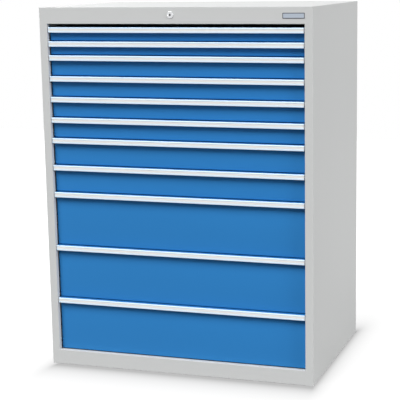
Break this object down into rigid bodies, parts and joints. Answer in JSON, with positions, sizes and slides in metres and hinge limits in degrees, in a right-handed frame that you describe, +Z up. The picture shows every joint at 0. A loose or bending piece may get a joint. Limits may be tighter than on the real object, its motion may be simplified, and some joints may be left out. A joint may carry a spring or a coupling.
{
  "type": "drawer cabinet",
  "caption": "Steel workshop cabinet with full-width drawers, grip strips, full-extension slides and central lock.",
  "frame": {"origin": "on the floor, at the centre of the cabinet's footprint and of its four floor bolt holes", "axes": "+Z up, -Y the front with the drawers, +X to the right for someone facing the front"},
  "size_m": [1.012, 0.7025, 1.326],
  "materials": {
    "carcass_grey": "powder coated, light grey, satin",
    "front_blue": "powder coated, blue, satin",
    "grip_aluminium": "natural anodised",
    "tray_steel": "powder coated, light grey",
    "zinc_steel": "bright zinc plated",
    "lock_chrome": "polished chrome",
    "lock_steel": "bare steel"
  },
  "bodies": {
    "cabinet": {"left_side_panel": "carcass_grey", "right_side_panel": "carcass_grey", "top_panel": "carcass_grey", "front_top_rail": "carcass_grey", "front_sill": "carcass_grey", "back_panel": "carcass_grey", "base_panel": "carcass_grey", "floor_channels": "carcass_grey", "guide_posts": "zinc_steel", "cabinet_rails": "zinc_steel", "lock_housing": "lock_chrome", "lock_nut": "lock_steel", "lock_brackets": "zinc_steel"},
    "drawer_01": {"drawer_01_tray": "tray_steel", "drawer_01_front": "front_blue", "drawer_01_grip": "grip_aluminium"},
    "drawer_02": {"drawer_02_tray": "tray_steel", "drawer_02_front": "front_blue", "drawer_02_grip": "grip_aluminium"},
    "drawer_03": {"drawer_03_tray": "tray_steel", "drawer_03_front": "front_blue", "drawer_03_grip": "grip_aluminium"},
    "drawer_04": {"drawer_04_tray": "tray_steel", "drawer_04_front": "front_blue", "drawer_04_grip": "grip_aluminium"},
    "drawer_05": {"drawer_05_tray": "tray_steel", "drawer_05_front": "front_blue", "drawer_05_grip": "grip_aluminium"},
    "drawer_06": {"drawer_06_tray": "tray_steel", "drawer_06_front": "front_blue", "drawer_06_grip": "grip_aluminium"},
    "drawer_07": {"drawer_07_tray": "tray_steel", "drawer_07_front": "front_blue", "drawer_07_grip": "grip_aluminium"},
    "drawer_08": {"drawer_08_tray": "tray_steel", "drawer_08_front": "front_blue", "drawer_08_grip": "grip_aluminium"},
    "drawer_09": {"drawer_09_tray": "tray_steel", "drawer_09_front": "front_blue", "drawer_09_grip": "grip_aluminium"},
    "drawer_10": {"drawer_10_tray": "tray_steel", "drawer_10_front": "front_blue", "drawer_10_grip": "grip_aluminium"},
    "drawer_11": {"drawer_11_tray": "tray_steel", "drawer_11_front": "front_blue", "drawer_11_grip": "grip_aluminium"},
    "runners_01": {"drawer_01_runners": "zinc_steel"},
    "runners_02": {"drawer_02_runners": "zinc_steel"},
    "runners_03": {"drawer_03_runners": "zinc_steel"},
    "runners_04": {"drawer_04_runners": "zinc_steel"},
    "runners_05": {"drawer_05_runners": "zinc_steel"},
    "runners_06": {"drawer_06_runners": "zinc_steel"},
    "runners_07": {"drawer_07_runners": "zinc_steel"},
    "runners_08": {"drawer_08_runners": "zinc_steel"},
    "runners_09": {"drawer_09_runners": "zinc_steel"},
    "runners_10": {"drawer_10_runners": "zinc_steel"},
    "runners_11": {"drawer_11_runners": "zinc_steel"},
    "lock_cylinder": {"lock_plug": "lock_chrome", "lock_shaft": "lock_steel"},
    "locking_bar": {"lock_bar": "zinc_steel"}
  },
  "joints": [
    {"name": "drawer_01_slide", "type": "slide", "parent": "cabinet", "child": "drawer_01", "axis": [0, -1, 0], "range_m": [0, 0.6]},
    {"name": "drawer_02_slide", "type": "slide", "parent": "cabinet", "child": "drawer_02", "axis": [0, -1, 0], "range_m": [0, 0.6]},
    {"name": "drawer_03_slide", "type": "slide", "parent": "cabinet", "child": "drawer_03", "axis": [0, -1, 0], "range_m": [0, 0.6]},
    {"name": "drawer_04_slide", "type": "slide", "parent": "cabinet", "child": "drawer_04", "axis": [0, -1, 0], "range_m": [0, 0.6]},
    {"name": "drawer_05_slide", "type": "slide", "parent": "cabinet", "child": "drawer_05", "axis": [0, -1, 0], "range_m": [0, 0.6]},
    {"name": "drawer_06_slide", "type": "slide", "parent": "cabinet", "child": "drawer_06", "axis": [0, -1, 0], "range_m": [0, 0.6]},
    {"name": "drawer_07_slide", "type": "slide", "parent": "cabinet", "child": "drawer_07", "axis": [0, -1, 0], "range_m": [0, 0.6]},
    {"name": "drawer_08_slide", "type": "slide", "parent": "cabinet", "child": "drawer_08", "axis": [0, -1, 0], "range_m": [0, 0.6]},
    {"name": "drawer_09_slide", "type": "slide", "parent": "cabinet", "child": "drawer_09", "axis": [0, -1, 0], "range_m": [0, 0.6]},
    {"name": "drawer_10_slide", "type": "slide", "parent": "cabinet", "child": "drawer_10", "axis": [0, -1, 0], "range_m": [0, 0.6]},
    {"name": "drawer_11_slide", "type": "slide", "parent": "cabinet", "child": "drawer_11", "axis": [0, -1, 0], "range_m": [0, 0.6]},
    {"name": "runners_01_slide", "type": "slide", "parent": "cabinet", "child": "runners_01", "axis": [0, -1, 0], "range_m": [0, 0.3]},
    {"name": "runners_02_slide", "type": "slide", "parent": "cabinet", "child": "runners_02", "axis": [0, -1, 0], "range_m": [0, 0.3]},
    {"name": "runners_03_slide", "type": "slide", "parent": "cabinet", "child": "runners_03", "axis": [0, -1, 0], "range_m": [0, 0.3]},
    {"name": "runners_04_slide", "type": "slide", "parent": "cabinet", "child": "runners_04", "axis": [0, -1, 0], "range_m": [0, 0.3]},
    {"name": "runners_05_slide", "type": "slide", "parent": "cabinet", "child": "runners_05", "axis": [0, -1, 0], "range_m": [0, 0.3]},
    {"name": "runners_06_slide", "type": "slide", "parent": "cabinet", "child": "runners_06", "axis": [0, -1, 0], "range_m": [0, 0.3]},
    {"name": "runners_07_slide", "type": "slide", "parent": "cabinet", "child": "runners_07", "axis": [0, -1, 0], "range_m": [0, 0.3]},
    {"name": "runners_08_slide", "type": "slide", "parent": "cabinet", "child": "runners_08", "axis": [0, -1, 0], "range_m": [0, 0.3]},
    {"name": "runners_09_slide", "type": "slide", "parent": "cabinet", "child": "runners_09", "axis": [0, -1, 0], "range_m": [0, 0.3]},
    {"name": "runners_10_slide", "type": "slide", "parent": "cabinet", "child": "runners_10", "axis": [0, -1, 0], "range_m": [0, 0.3]},
    {"name": "runners_11_slide", "type": "slide", "parent": "cabinet", "child": "runners_11", "axis": [0, -1, 0], "range_m": [0, 0.3]},
    {"name": "locking_bar_lift", "type": "slide", "parent": "cabinet", "child": "locking_bar", "axis": [0, 0, 1], "range_m": [0, 0.01414]},
    {"name": "lock_turn", "type": "hinge", "parent": "cabinet", "child": "lock_cylinder", "pos_m": [-0.004, -0.35, 1.299], "axis": [0, 1, 0], "range_deg": [0, 90]}
  ],
  "couplings": [
    {"joint": "runners_01_slide", "follows": "drawer_01_slide", "ratio": 0.5},
    {"joint": "runners_02_slide", "follows": "drawer_02_slide", "ratio": 0.5},
    {"joint": "runners_03_slide", "follows": "drawer_03_slide", "ratio": 0.5},
    {"joint": "runners_04_slide", "follows": "drawer_04_slide", "ratio": 0.5},
    {"joint": "runners_05_slide", "follows": "drawer_05_slide", "ratio": 0.5},
    {"joint": "runners_06_slide", "follows": "drawer_06_slide", "ratio": 0.5},
    {"joint": "runners_07_slide", "follows": "drawer_07_slide", "ratio": 0.5},
    {"joint": "runners_08_slide", "follows": "drawer_08_slide", "ratio": 0.5},
    {"joint": "runners_09_slide", "follows": "drawer_09_slide", "ratio": 0.5},
    {"joint": "runners_10_slide", "follows": "drawer_10_slide", "ratio": 0.5},
    {"joint": "runners_11_slide", "follows": "drawer_11_slide", "ratio": 0.5},
    {"joint": "lock_turn", "follows": "locking_bar_lift", "rad_per_m": 111.07}
  ]
}
